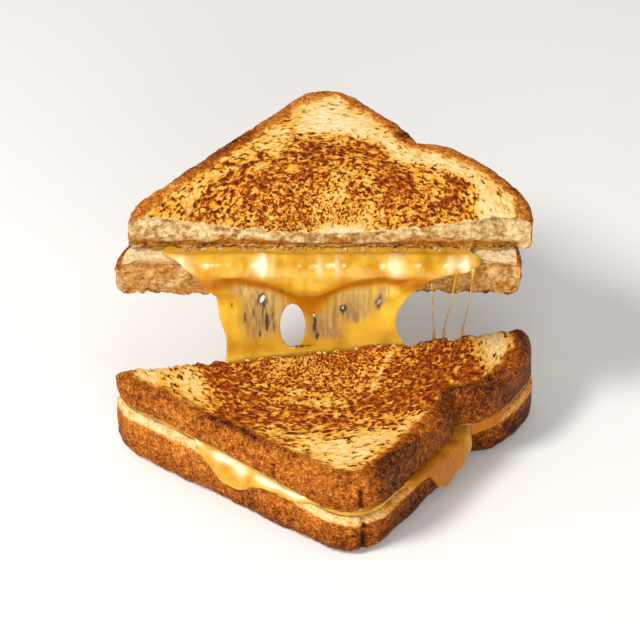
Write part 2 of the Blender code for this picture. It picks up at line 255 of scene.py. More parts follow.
def from_crust(plan, line):
    """Each place's distance, in mm, to the nearest point of the crust line."""
    flat = plan.reshape(-1, 2).astype(np.float32)
    least = np.full(len(flat), 1e9, np.float32)
    for part in np.array_split(line[0].astype(np.float32), 10):
        gaps = flat[:, None] - part
        least = np.minimum(least, (gaps**2).sum(axis=2).min(axis=1))
    return np.sqrt(least.astype(np.float64)) / MM


def arcs(u, v, w):
    """Places as distance from a centre behind the cut and angle round it, at 36 / 1.3 mm to the radian.

    Noise read here runs in short arcs, as bread browns along its pressed crumb.
    """
    beyond = v + 10
    return np.stack([np.hypot(u * 0.9, beyond), np.arctan2(beyond, u) * 36 / 1.3, w], axis=1)


def bake(grid, facts, line, seed, tone, coarse=1.0, frayed=0.0):
    """Roughens half a slice and says how brown each point is.

    `tone(u, v, d, part, deep, big)` gives the browning of the fried face and of the crust, from 0, pale,
    to 1, burnt, with painted shade darkening some crusts on the right and in creases, how glossy the crust
    is, how far butter and cheese have seeped into the cut, together with painted shade on some cuts, and
    how deep the crust is dented, in mm. Here u and v are the place in plan, d the distance from the crust,
    all in mm, `part` the way along the crust, `deep` the way down it, and `big` slow noise. The relief is a
    sum of noise along the normal: the fried face is scaly, the crust beaded, and the cut full of small
    holes. Last the edges of the cut are torn outwards by up to 2 mm.
    """
    shape = grid.shape[:2]
    at = grid.reshape(-1, 3) / MM
    u, v = (facts["plan"].reshape(-1, 2) / MM).T
    w = at[:, 2]
    d = from_crust(facts["plan"], line)
    face, cut, side = [facts[key].ravel().astype(float) for key in ("face", "cut", "side")]
    part, deep, knife = [facts[key].ravel() for key in ("part", "deep", "on_cut")]
    big = ragged(at, 17.0, seed, 3)
    grain = arcs(u, v, w)
    flake = ragged(grain, 2.6, seed + 1, 5, 0.7)
    patch = ragged(grain, 8.0, seed + 10, 3, 0.7)
    fried, crust, gloss, soak, dent = tone(u, v, d, part, deep, big)
    rough = ragged(at, 4.5, seed + 8, 3, 0.7)
    rim = ease(d + 1.3 * rough, 8.2, 4.2)
    face *= 1 - frayed * ease(v + 1.8 * rough, 1.6, -0.6)
    on_rim = np.clip(side * (1 - cut) + face * rim, 0, 1)
    beads = ragged(at, 2.0, seed + 2, 3, 0.75)
    holes = 1 - ease(bubbles(at * [0.7, 1, 1], 3.0 * coarse, seed + 3), 0.12, 0.5)
    holes *= ease(ragged(at, 7.0, seed + 9, 2), -0.7, 0.5)
    on_face = face * (1 - on_rim)
    uneven = (0.14 * flake + 0.12 * patch) * ease(fried, 0.10, 0.45)
    normal = grid_normals(grid).reshape(-1, 3)
    lift = 0.30 * big + on_face * (0.34 * flake * ease(fried, 0.05, 0.4) + 0.10 * beads)
    lift += on_rim * (0.42 * beads * (1 - 0.6 * gloss) + 0.30 * ragged(at, 7.0, seed + 4, 2))
    lift -= side * (1 - cut) * dent
    inner = np.clip(1 - face - cut - on_rim, 0, 1)
    lift += 0.5 * inner * ragged(at, 3.5, seed + 7, 3, 0.7)
    lift -= cut * (1.1 * holes - 0.6 * ragged(at, 2.2, seed + 5, 3) + 1.6 * soak * hump(deep, 0.9, 0.3))
    placed = at + normal * lift[:, None]
    edge = np.where(cut > 0, np.minimum(deep, 1 - deep) * np.ptp(w) * 0.9, np.abs(v) + 50 * (1 - knife))
    torn = ease(edge, 3.0, 0.2) * np.clip(0.5 + ragged(at * [1, 0, 0.5], 4.5, seed + 6, 4, 0.75), 0, 1.6)
    placed += torn[:, None] * np.stack([0 * u, 1.3 + 0 * u, np.where(deep < 0.5, -1.0, 0.5)], axis=1)
    marks = {
        "brown": on_face * (fried + uneven) + on_rim * crust,
        "crumb": np.clip(1 - face * (1 - cut) - on_rim, 0, 1),
        # Painted shade in the holes of the cut.
        "hollow": cut * holes,
        "fried": on_face,
        "rim": on_rim,
        "gloss": gloss * on_rim,
        # Butter seeping into the cut, with painted shade where a tone puts it.
        "soak": np.maximum(cut, knife * ease(v, 3, 1)) * soak,
        "inner": inner * ease(v, 0.5, 2),
        "grain": grain * MM,
    }
    return placed.reshape(*shape, 3) * MM, marks


def nodes_of(material):
    """Clears a material and returns a function that adds a node with its settings and its inputs.

    An input is named as its socket is, with _ for a space, or by an underscore and its number.
    """
    material.use_nodes = True
    tree = material.node_tree
    tree.nodes.clear()

    def add(kind, settings=None, **inputs):
        node = tree.nodes.new("ShaderNode" + kind)
        for name, value in (settings or {}).items():
            setattr(node, name, value)
        for name, value in inputs.items():
            socket = node.inputs[int(name[1:]) if name[1:].isdigit() else name.replace("_", " ")]
            if isinstance(value, bpy.types.NodeSocket):
                tree.links.new(value, socket)
            else:
                socket.default_value = value
        return node

    return add


def screen(red, green, blue):
    """A colour given as 0 to 255 screen values, in linear light."""
    value = np.array([red, green, blue]) / 255
    linear = np.where(value <= 0.04045, value / 12.92, ((value + 0.055) / 1.055) ** 2.4)
    return (*linear.tolist(), 1.0)


def ramp_of(add, value, *stops):
    """A colour ramp: each stop is its place and its colour in screen values."""
    ramp = add("ValToRGB", Fac=value)
    band = ramp.color_ramp
    while len(band.elements) < len(stops):
        band.elements.new(0.5)
    for element, (where, colour) in zip(band.elements, stops):
        element.position = where
        element.color = screen(*colour)
    return ramp.outputs[0]


def bread_finish(name, crumb_light, crumb_dark):
    """Fried bread: scales of dark brown, the closer together the more it is fried, over gold and cream.

    The crust is beads, painted dark in the pits between them: painted shade. The crumb is cells painted
    darker than their light walls, and the holes of the cut darker still: painted shade in them. Butter
    leaves some of the crust glossy, and soaks the cut amber; that amber also carries painted shade on some
    cuts. Each colour is a ramp read by a weighted sum of noise and of the marks that `bake` leaves.
    """
    material = bpy.data.materials.new(name)
    add = nodes_of(material)

    def mark(named, output="Fac"):
        return add("Attribute", {"attribute_name": named}).outputs[output]

    def sum_of(value, times, plus):
        return add("Math", {"operation": "MULTIPLY_ADD"}, _0=value, _1=times, _2=plus).outputs[0]

    def noise(at, scale, detail, roughness, distortion=0.0):
        return add("TexNoise", Vector=at, Scale=scale, Detail=detail, Roughness=roughness,
                   Distortion=distortion).outputs[0]

    def blend(factor, first, second, kind="MIX"):
        settings = {"data_type": "RGBA", "blend_type": kind}
        return add("Mix", settings, Factor=factor, _6=first, _7=second).outputs[2]

    place = add("TexCoord").outputs["Object"]
    grain, brown, fried, gloss = mark("grain", "Vector"), mark("brown"), mark("fried"), mark("gloss")
    flake = noise(grain, 760.0, 6.0, 0.62, 0.5)
    fine = noise(grain, 1900.0, 3.0, 0.7)
    scaly = add("MapRange", {"interpolation_type": "SMOOTHSTEP"}, Value=sum_of(brown, 0.50, flake),
                _1=0.70, _2=0.765).outputs[0]
    golden = ramp_of(add, sum_of(flake, 0.7, sum_of(fine, 0.34, sum_of(brown, 0.8, -0.52))),
                     (0.0, (246, 228, 196)), (0.16, (242, 208, 142)), (0.28, (236, 176, 66)),
                     (0.42, (222, 142, 32)), (0.6, (188, 96, 10)))
    scales = ramp_of(add, sum_of(fine, 0.7, sum_of(flake, -2.2, 1.4)),
                     (0.18, (36, 8, 0)), (0.40, (92, 28, 0)), (0.60, (140, 56, 2)), (0.84, (188, 98, 12)))
    top = blend(scaly, golden, scales)
    soft = noise(place, 420.0, 5.0, 0.7)
    beads = noise(place, 1300.0, 4.0, 0.7, 0.3)
    # Crust: darker where the beads and the soft noise dip, as the bump does: painted shade in the pits.
    crust = ramp_of(add, sum_of(beads, -1.4, sum_of(soft, -1.1, sum_of(brown, 1.0, 1.25))),
                    (0.0, (240, 212, 160)), (0.2, (230, 172, 86)), (0.42, (206, 122, 36)),
                    (0.6, (162, 84, 14)), (0.78, (104, 46, 0)), (1.0, (34, 12, 0)))
    outside = blend(mark("rim"), top, crust)
    cells = noise(place, 800.0, 4.0, 0.7, 0.4)
    walls = sum_of(cells, 1.0, sum_of(soft, 1.2, -0.72))
    patch = noise(place, 190.0, 3.0, 0.6)
    # Crumb: lighter on the walls and darker in the cells: painted shade in the cells.
    tones = ramp_of(add, sum_of(patch, 1.5, sum_of(walls, 1.0, -0.74)),
                    (0.14, crumb_dark), (0.66, crumb_light))
    inner = ramp_of(add, walls, (0.1, (228, 184, 120)), (0.6, (250, 232, 190)))
    tones = blend(mark("inner"), tones, inner)
    # The holes of the cut are multiplied darker: painted shade in the pores.
    shaded = blend(mark("hollow"), tones, (0.68, 0.55, 0.40, 1), "MULTIPLY")
    # Amber for butter seeping into the cut, also carrying painted shade on some cuts.
    amber = ramp_of(add, walls, (0.1, (134, 76, 8)), (0.4, (192, 122, 28)), (0.7, (224, 168, 78)))
    wet_and_shaded = blend(mark("soak"), shaded, amber)
    colour = blend(mark("crumb"), outside, wet_and_shaded)
    relief = add("Mix", Factor=fried, _2=sum_of(beads, 0.5, soft), _3=flake).outputs[0]
    height = add("Mix", Factor=mark("crumb"), _2=relief, _3=walls).outputs[0]
    bump = add("Bump", Strength=0.9, Distance=0.0013, Height=height).outputs[0]
    dull = add("MapRange", Value=gloss, _3=0.58, _4=0.34).outputs[0]
    shader = add("BsdfPrincipled", Base_Color=colour, Roughness=dull, Normal=bump)
    shader.inputs["Subsurface Weight"].default_value = 0.05
    shader.inputs["Subsurface Radius"].default_value = (1.0, 0.5, 0.2)
    shader.inputs["Subsurface Scale"].default_value = 0.002
    shader.inputs["Specular IOR Level"].default_value = 0.07
    add("OutputMaterial", Surface=shader.outputs[0])
    return material


# The slice above is drawn first, because its box in the frame says where the object's origin lies
ORIGIN = np.zeros(3)
top_line = crust_line(LOAF, 16 * MM, 0.57, 4 * MM, 5.5 * MM, CRUST_POINTS)
top_at = np.array([-1.0, 0, 0]) * MM
top_grid, top_facts = half_slice(top_line, top_at, LOWER_SLICE, 5 * MM, INNER_ROUND, True, 86)
ORIGIN = lower(top_grid.reshape(-1, 3)).min(axis=0) - np.array(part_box("lower_top_slice")[0])
ORIGIN[2] = 0.0

UNDER_LOAF = LOAF + 3 * MM
under_line = crust_line(UNDER_LOAF, 20 * MM, 0.62, 4 * MM, 5 * MM, CRUST_POINTS)
under_at = np.array([-0.5 * MM, -LOWER_STEP, -(LOWER_SLICE + LOWER_BED)])
under_grid, under_facts = half_slice(under_line, under_at, LOWER_SLICE, 4 * MM, INNER_ROUND, False, 26)


def under_tone(u, v, d, part, deep, big):
    """The lower crust is golden on top and brown below; on the right buttery, and painted darker as shade.
    """
    right = ease(part, 0.50, 0.56)
    crust = 0.53 + 0.05 * ease(part, 0.40, 0.48) + 0.15 * ease(deep, 0.2, 0.8) + 0.10 * big
    # The right crust is painted darker brown: painted shade of the side turned from the key.
    crust += 0.18 * right - 0.46 * ease(deep, 0.20, 0.10)
    crease = hump(part, 0.496, 0.004)
    dent = 1.5 * crease + 0.4 * hump(part, 0.512, 0.005)
    # The crease near the corner is dented and painted darker: painted shade in the fold.
    return 0.5 + 0.2 * big, crust + 0.25 * crease, right, 0.0 * u, dent


under_grid, under_marks = bake(under_grid, under_facts, under_line, 40, under_tone)
under_bread = bread_finish("fried bread", (250, 230, 182), (206, 162, 102))
rows, count = under_grid.shape[:2]
build("under_slice", lower(under_grid.reshape(-1, 3)), closed_faces(rows, count), under_marks, under_bread,
      "lower_bottom_bread", "lower_bottom_slice")

# Lower half, cheese: a slice melted between the two breads, a little short of the crust. It has run out
# in two places and set as tongues: a short one on the left, and a long one into the pinch on the right.
AIR = 0.3 * MM


def weave(rows, at):
    """A Catmull-Rom curve through the rows, read at these places counted in rows."""
    whole = np.clip(np.floor(at).astype(int), 0, len(rows) - 2)
    t = (at - whole).reshape(-1, *[1] * (rows.ndim - 1))
    rows = np.concatenate([2 * rows[:1] - rows[1:2], rows, 2 * rows[-1:] - rows[-2:-1]])
    a, b, c, d = (rows[whole + k] for k in range(4))
    return b + 0.5 * t * (c - a + t * (2 * a - 5 * b + 4 * c - d + t * (3 * (b - c) + d - a)))


def melted_bed(line, shift, thick, fall, fat, edge_fine):
    """A sheet of cheese with a rounded edge. Where `fat` isn't 0 it is drawn out over the crust below.

    `fat` is how far it stands out of the crust there and `fall` how far it runs down, one value for each
    point of the line, in metres. The edge is a curve woven through seven points, each mixed from the
    plain round and the tongue's shape: so many times `fat` and `fall`, plus a gap. Along the cut, which
    has `edge_fine` points, it is plain. Returns the closed grid.
    """
    points, normals, _ = line
    edge = np.linspace(0, 1, edge_fine + 2)[1:-1, None]
    points = np.concatenate([points, points[-1] + (points[0] - points[-1]) * edge])
    normals = np.concatenate([normals, normals[-1] + (normals[0] - normals[-1]) * edge])
    fall, fat = [np.concatenate([value, np.zeros(edge_fine)]) for value in (fall, fat)]
    drawn = np.clip(fat / fat.max() * 4, 0, 1) if fat.max() > 0 else fat
    inset, under = 2.7 * MM, AIR + thick
    turn = np.radians([55, 20, -20, -55])
    plain_out = [-1.9 * MM, *(-inset + 1.2 * MM * np.cos(turn)), -1.9 * MM, -2.1 * MM]
    plain_high = [-0.1 * MM, *(thick / 2 * (np.sin(turn) - 1)), -0.95 * thick, -0.97 * thick]
    shape = [(0, 0, -0.1 * MM, 0), (0.62, AIR, -0.8 * MM, -0.10), (1.15, AIR, -under, -0.42),
             (1.1, AIR, -under, -0.84), (0.5, 2 * AIR, -under, -1.0), (0, 3 * AIR, -under, -0.9),
             (0, 3 * AIR, -under - 0.2 * MM, 0)]
    profile = []
    for out, high, (lip, gap, start, part) in zip(plain_out, plain_high, shape):
        out = out + (lip * fat + gap - out) * drawn
        high = high + (start - high) * drawn + part * fall
        profile.append(np.column_stack([points + normals * out[:, None], high]))
    profile = weave(np.array(profile), np.linspace(0, 6, 37))
    middle = np.array([0, points[:, 1].max() * MIDDLE])
    flat = (points - normals * inset - middle) * np.linspace(0, 1, 7)[:-1, None, None] + middle
    over = np.concatenate([flat, np.zeros((*flat.shape[:2], 1))], axis=2)
    beneath = np.concatenate([flat, np.full((*flat.shape[:2], 1), -thick)], axis=2)[::-1]
    return np.concatenate([over, profile, beneath]) + shift


def cheese_finish():
    """Melted cheddar: yellow, with amber painted shade in its crease and beneath other parts, and grey-tan
    where it is stretched thin and along slits, darkest there: painted shade seen through the thin cheese.

    Marks say where each of these goes, where the cheese is painted lighter as painted light, where it has
    set pale and where highlights are painted, and `grain` runs along the stretch.
    """
    material = bpy.data.materials.new("melted cheese")
    add = nodes_of(material)

    def mark(named, output="Fac"):
        return add("Attribute", {"attribute_name": named}).outputs[output]

    def blend(factor, first, second):
        return add("Mix", {"data_type": "RGBA"}, Factor=factor, _6=first, _7=second).outputs[2]

    place = add("TexCoord").outputs["Object"]
    cloud = add("TexNoise", Vector=place, Scale=130.0, Detail=3.0, Roughness=0.6).outputs[0]
    grain = mark("grain", "Vector")
    streak = add("TexNoise", Vector=grain, Scale=620.0, Detail=5.0, Roughness=0.72).outputs[0]
    yellow = ramp_of(add, cloud, (0.36, (186, 130, 20)), (0.64, (212, 166, 56)))
    # Amber for painted shade: in the roll's crease, under the upper half and in the pinch on the right.
    amber = ramp_of(add, streak, (0.3, (152, 84, 0)), (0.7, (184, 112, 4)))
    # Grey-tan for the thin film: painted shade seen through it.
    film = ramp_of(add, streak, (0.30, (122, 98, 62)), (0.48, (172, 142, 92)), (0.66, (214, 178, 104)))
    # Painted light: a lighter yellow on the curtain, which hangs in the roll's shade. Then near white where
    # the cheese has set pale and where highlights are painted.
    pale = blend(mark("milky"), blend(mark("bright"), yellow, screen(252, 206, 72)), screen(252, 240, 196))
    # The amber painted shade is mixed in where the mark says.
    shade_mixed_in = blend(mark("deepen"), pale, amber)
    # Dark grey-brown along the slits: painted shade seen through them.
    colour = blend(mark("slit"), blend(mark("thin"), shade_mixed_in, film), screen(74, 62, 52))
    bump = add("Bump", Strength=0.25, Distance=0.0004, Height=streak).outputs[0]
    shader = add("BsdfPrincipled", Base_Color=colour, Normal=bump)
    shader.inputs["Roughness"].default_value = 0.26
    shader.inputs["Subsurface Weight"].default_value = 0.15
    shader.inputs["Subsurface Radius"].default_value = (1.0, 0.45, 0.12)
    shader.inputs["Subsurface Scale"].default_value = 0.003
    shader.inputs["Specular IOR Level"].default_value = 0.1
    shader.inputs["Coat Weight"].default_value = 0.22
    shader.inputs["Coat Roughness"].default_value = 0.14
    shader.inputs["Coat IOR"].default_value = 1.42
    add("OutputMaterial", Surface=shader.outputs[0])
    return material


cheese = cheese_finish()
BED_EDGE = 70
bed_side = UNDER_LOAF - (LOWER_STEP - 1.5 * MM) * np.sqrt(2)
bed_line = crust_line(bed_side, 20 * MM, 0.62 * UNDER_LOAF / bed_side, 4 * MM, 5 * MM, 760)
bed_at = np.array([-0.5, -1.5, -16.8]) * MM
part = bed_line[2]
left_fall = ease(part, 0.195, 0.245) * ease(part, 0.325, 0.265)
right_fall = np.clip((0.885 - part) / 0.19, 0, 1) ** 1.2 * ease(part, 0.64, 0.695)
fall = 6.8 * MM * left_fall + 13.2 * MM * right_fall
fat = 2.9 * MM * ease(part, 0.165, 0.215) * ease(part, 0.42, 0.30)
fat += 2.4 * MM * ease(part, 0.90, 0.76) * ease(part, 0.58, 0.68)
bed_grid = melted_bed(bed_line, bed_at, LOWER_BED - 2 * AIR, fall, fat, BED_EDGE)
rows, count = bed_grid.shape[:2]
at = bed_grid.reshape(-1, 3)
lumpy = np.concatenate([0.22 + 0.45 * right_fall, np.full(BED_EDGE, 0.22)])
lumpy = np.broadcast_to(lumpy, (rows, count)).ravel()[:, None] * MM
at = at + lumpy * np.stack([drift(at * [1, 1, 0.6], 3.5 * MM, 200 + k) for k in range(3)], axis=1)
# Painted shade: the right tongue, in the pinch, is painted amber, less along one strand.
amber = ease(part, 0.55, 0.62) * (1.0 - 0.5 * hump(part, 0.765, 0.03))
# Painted highlights: near white along the left tongue's shoulder and along two strands of the right one.
highlight_streaks = ease(part, 0.5, 0.3) + 0.5 * hump(part, 0.70, 0.006) + 0.6 * hump(part, 0.80, 0.03)
amber, highlight_streaks = [np.concatenate([value, np.zeros(BED_EDGE)]) for value in (amber, highlight_streaks)]
milky = (hump(np.arange(rows), 10.5, 3.6)[:, None] * highlight_streaks).ravel()
milky = np.clip(milky * (0.7 + 1.5 * drift(at, 5 * MM, 210)), 0, 1)
bed_marks = {"deepen": np.tile(amber, rows), "milky": milky, "grain": at * [1, 1, 0.3]}
build("melted_layer", lower(at), closed_faces(rows, count), bed_marks, cheese, "melted_cheese", "cheese")

# Lower half, top slice: the fried face is browned in arcs round the middle of the cut, with a pale
# margin inside the crust and a pale corner. The left crust is rough and singed along its upper edge,
# and the right one is buttery, and painted darker brown: painted shade.


def top_tone(u, v, d, part, deep, big):
    """Browning in arcs round the cut's middle, a pale corner and margin, and one pale streak."""
    far = np.hypot((u - 3) * 0.8, v + 6)
    zone = ease(d + 2.5 * big, 5.5, 10.5) * ease(far + 2 * big, 60, 50)
    zone *= ease(u + 2 * big, -57, -39) * ease(u + 2 * big, 66, 52)
    rings = 0.05 * np.sin(far * 2 * np.pi / 6.5 + 1.5 * big) * ease(far, 18, 34)
    streak = hump(u - 26 + (v - 3) * 0.48, 0, 1.1) * ease(v, 34, 26)
    margin = 0.12 * ease(far, 66, 54) + 0.10 * hump(d, 8, 3) + 0.05 * ease(v, 44, 60)
    fried = 0.17 + 0.05 * big + margin + zone * (0.22 + rings + 0.06 * big) - 0.2 * streak
    fried -= 0.10 * ease(abs(u + 6), 50, 66)
    right = ease(part, 0.50, 0.56)
    singe = hump(d, 4.2, 1.5) * ease(part, 0.08, 0.18) * ease(part, 0.40, 0.32) * ease(big, -0.7, 0.5)
    # The right crust is painted darker brown: painted shade of the side turned from the key.
    crust = 0.55 + 0.06 * ease(part, 0.40, 0.48) + 0.12 * big + 0.16 * right + 0.30 * singe
    nick, crease = hump(part, 0.333, 0.003) * ease(deep, 0.3, 0.5), ease(deep, 0.1, 0.4)
    dent = 1.4 * hump(part, 0.493, 0.004) * crease + 0.9 * nick
    # The crack and the corner crease are dented and painted darker: painted shade in them.
    crust += 0.3 * nick + 0.3 * hump(part, 0.493, 0.003) * crease
    return fried, crust, right, 0.0 * u, dent


top_grid, top_marks = bake(top_grid, top_facts, top_line, 60, top_tone)
rows, count = top_grid.shape[:2]
build("fried_top", lower(top_grid.reshape(-1, 3)), closed_faces(rows, count), top_marks, under_bread,
      "lower_top_bread", "lower_top_slice")

# Upper half, bottom slice: it steps out at the cut, so that the cheese rolls over its edge.
UPPER_TIP = 6.0
UPPER_AT = np.array([1.0, 2.0, 94.9]) * MM
UPPER_TOP_SLICE = 13.0 * MM
UPPER_BED = 2.5 * MM
UPPER_BOTTOM_SLICE = 13.0 * MM
UPPER_STEP = 7.5 * MM
UPPER_LEAN = 2.0 * MM


def upper(points):
    """From the upper half's own frame, whose v runs to its rear corner, into the world."""
    return points @ turned(UPPER_TIP, 0).T + UPPER_AT - ORIGIN


ledge_line = crust_line(LOAF - 4 * MM, 18 * MM, 0.42, 3.5 * MM, 7 * MM, CRUST_POINTS)
ledge_at = np.array([-4.0 * MM, -UPPER_STEP, -(UPPER_TOP_SLICE + UPPER_BED)])
ledge_grid, ledge_facts = half_slice(ledge_line, ledge_at, UPPER_BOTTOM_SLICE, 4 * MM, INNER_ROUND, False,
                                     40, UPPER_LEAN)


def ledge_tone(u, v, d, part, deep, big):
    """Fried evenly underneath, with a mid-brown crust."""
    fried = 0.18 + 0.34 * ease(d + 2.5 * big, 8, 14) + 0.08 * big
    # The whole cut is darkened amber, most near its top: partly butter seeping in, partly painted shade on
    # a cut that stands behind the cheese.
    soak_and_shade = 0.55 + 0.3 * big + 0.2 * ease(deep, 0.2, 0.05)
    return fried, 0.56 + 0.14 * big, 0.3 * ease(part, 0.5, 0.56), np.clip(soak_and_shade, 0, 1), 0.0 * u


ledge_grid, ledge_marks = bake(ledge_grid, ledge_facts, ledge_line, 80, ledge_tone, coarse=0.8)
# The upper half's crumb is painted darker than the lower half's: painted shade on its cut faces.
shade_darkened_bread = bread_finish("fried bread with a shade-darkened cut", (244, 214, 158), (168, 120, 54))
rows, count = ledge_grid.shape[:2]
build("ledge_slice", upper(ledge_grid.reshape(-1, 3)), closed_faces(rows, count), ledge_marks, shade_darkened_bread,
      "upper_bottom_bread", "upper_bottom_slice")

# Upper half, top slice: the fried face is browned in a wide ring inside a pale margin, and its cut edge
# sags in the middle, where the knife pressed the crumb.
UPPER_SAG = 7.5 * MM
over_line = crust_line(LOAF - 3.5 * MM, 20 * MM, 0.45, 2 * MM, 7 * MM, CRUST_POINTS)
over_at = np.array([0, 0.7, 0]) * MM
over_grid, over_facts = half_slice(over_line, over_at, UPPER_TOP_SLICE, 4 * MM, INNER_ROUND, True, 86,
                                   UPPER_LEAN, UPPER_SAG)


def over_tone(u, v, d, part, deep, big):
    """A ring of browning 12 to 24 mm inside the crust, paler within, and a painted highlight by the cut."""
    zone = ease(d + 3 * big, 9, 17) * ease(np.hypot(u * 0.62, v), 52, 40)
    zone *= ease(u + 2 * big, -58, -46) * ease(u + 2 * big, 60, 48)
    band = hump(d + 2 * big, 20, 9)
    # Near white by the middle of the cut: a painted highlight. The fainter patch further in is paler toast.
    pale = 0.36 * hump(u, 4, 9) * hump(v, 1, 4) + 0.10 * hump(u, 6, 11) * hump(v, 22, 7)
    golden = 0.18 * ease(u, 0, -20) + 0.08 * hump(d, 12, 6) + 0.10 * hump(d, 7.5, 3)
    fried = 0.11 + 0.03 * big + golden * (1 - zone) + zone * (0.36 + 0.10 * band + 0.05 * big) - pale
    crust = 0.52 + 0.14 * big + 0.13 * hump(part, 0.26, 0.09) + 0.34 * hump(part, 0.675, 0.013)
    # The caverns raise the amber band in three places, carving the cut deeper there and painting it darker:
    # painted shade in them.
    caverns = 0.35 * hump(u, -38, 3.5) + 0.45 * hump(u, -26, 5) + 0.4 * hump(u, 4, 4)
    soak_and_shade = ease(deep + 0.22 * big + caverns + 0.18 * ease(abs(u), 60, 30), 0.62, 1.0)
    return fried, crust, 0.2 * np.ones(len(u)), soak_and_shade * ease(abs(u), 76, 66), 0.0 * u


over_grid, over_marks = bake(over_grid, over_facts, over_line, 100, over_tone, frayed=1.0)
rows, count = over_grid.shape[:2]
build("browned_top", upper(over_grid.reshape(-1, 3)), closed_faces(rows, count), over_marks, shade_darkened_bread,
      "upper_top_bread", "upper_top_slice")

# Upper half, cheese: the same layer, thinner and further inside the crust. It shows only as a line.
raised_line = crust_line(LOAF - 12 * MM, 20 * MM, 0.44, 2.5 * MM, 5 * MM, 400)
raised_at = np.array([-1.5, 0.8, -13.3]) * MM
none = np.zeros(len(raised_line[0]))
raised_grid = melted_bed(raised_line, raised_at, UPPER_BED - 2 * AIR, none, none, 40)
rows, count = raised_grid.shape[:2]
at = raised_grid.reshape(-1, 3)
at = at + 0.15 * MM * np.stack([drift(at, 3.5 * MM, 220 + k) for k in range(3)], axis=1)
# Painted shade: the layer between the slices is painted a little amber all over.
raised_marks = {"deepen": np.full(len(at), 0.3), "grain": at}
build("raised_layer", upper(at), closed_faces(rows, count), raised_marks, cheese, "melted_cheese", "cheese")

# Pulled cheese: out of the upper half it rolls over the ledge, thick and glossy. Under a wavy crease it
# hangs in a curtain, thin in the middle and thick down its edges, to the back of the lower half. It is
# torn by one large oval hole and four small ones, and nearly torn along slits, painted dark as painted
# shade seen through them.
CHEESE_DOWN = 200
CHEESE_ACROSS = 206

# Each row is a station down the cheese, in mm: the y and z of its face and of its back, its left and right
# edges, and how far it is skewed. The roll's rows are in the upper half's own frame.
ROLL = np.array([
    [8.0, -13.35, 8.0, -15.15, -57.0, 49.0],
    [-1.8, -13.35, -1.8, -15.15, -60.0, 53.0],
    [-5.5, -12.6, -5.5, -15.15, -56.5, 56.0],
    [-9.0, -13.8, -7.7, -15.15, -53.5, 56.0],
    [-11.2, -15.9, -7.9, -15.5, -51.0, 51.0],
    [-12.5, -18.0, -8.1, -16.8, -48.5, 40.0],
    [-13.2, -22.0, -8.95, -22.0, -45.5, 34.5],
    [-12.8, -25.5, -9.5, -25.5, -42.5, 31.5],
    [-11.6, -29.5, -9.9, -29.5, -40.5, 29.0],
])
CURTAIN = np.array([
    [-4.6, 55.0, -2.9, 55.0, -38.5, 27.0, 0.04],
    [-2.4, 46.0, -0.6, 46.0, -36.4, 26.8, 0.09],
    [0.0, 38.0, 1.9, 38.0, -36.3, 28.5, 0.14],
    [0.4, 34.0, 2.4, 34.0, -36.8, 30.0, 0.1655],
    [0.4, 26.0, 2.6, 26.0, -39.0, 32.0, 0.1655],
    [0.4, 18.9, 3.2, 17.2, -41.0, 35.0, 0.1655],
    [-3.0, 18.7, -0.5, 17.4, -41.0, 35.0, 0.1655],
    [-8.0, 18.5, -8.0, 17.5, -40.0, 34.0, 0.1655],
])


def leaned(places):
    """The y and z, in mm, of places given by y and z in the upper half's own frame."""
    return (upper(np.column_stack([0 * places[:, 0], places]) * MM) + ORIGIN)[:, 1:] / MM


def patches(x, z, wide, tall, seed):
    """Noise over the cheese, from -1 to 1, in patches this wide and this tall in mm."""
    places = np.stack([x.ravel() / wide, z.ravel() / tall, 0 * x.ravel()], axis=1)
    return drift(places, 1.0, seed).reshape(x.shape)


def bells(x, *rows):
    """The sum of bells along x: each row is a bell's place, its half width and its height."""
    return sum(tall * hump(x, where, wide) for where, wide, tall in rows)


def tear_open(sheets, tears, reach):
    """Leaves out the cells in each tear and pulls the points round them onto its oval, by 1 / reach.

    `reach` is each point's distance from a tear's middle, counted in the oval's own radius. Where a cell
    has no neighbour, a wall joins the two sheets. Returns the faces and which points are kept.
    """
    height, width = sheets[0].shape[:2]
    gone = np.zeros((height - 1, width - 1), bool)
    for (tear_x, tear_z, *_), far in zip(tears, reach):
        inside = (far[1:, 1:] + far[:-1, 1:] + far[1:, :-1] + far[:-1, :-1]) / 4 < 1
        gone |= inside
        beside = np.zeros((height + 1, width + 1))
        beside[1:-1, 1:-1] = inside
        touching = beside[1:, 1:] + beside[:-1, 1:] + beside[1:, :-1] + beside[:-1, :-1]
        around = (touching > 0) & (touching < 4)
        for sheet in sheets:
            pull = (1 / far[around] - 1)[:, None] * (sheet[around][:, [0, 2]] - [tear_x, tear_z])
            sheet[around] += np.column_stack([pull[:, 0], 0 * pull[:, 0], pull[:, 1]])
    index = np.arange(height * width).reshape(height, width)
    cells = np.stack([index[:-1, :-1], index[:-1, 1:], index[1:, 1:], index[1:, :-1]], axis=2)[~gone]
    ends = np.concatenate([np.stack([cells[:, k], cells[:, (k + 1) % 4]], axis=1) for k in range(4)])
    open_ends = ends[~np.isin(ends @ [index.size, 1], ends @ [1, index.size])]
    walls = np.column_stack([open_ends[:, ::-1], open_ends + index.size])
    faces = np.concatenate([cells, cells[:, ::-1] + index.size, walls])
    kept = np.unique(faces)
    renumber = np.zeros(2 * index.size, int)
    renumber[kept] = np.arange(len(kept))
    return renumber[faces], kept


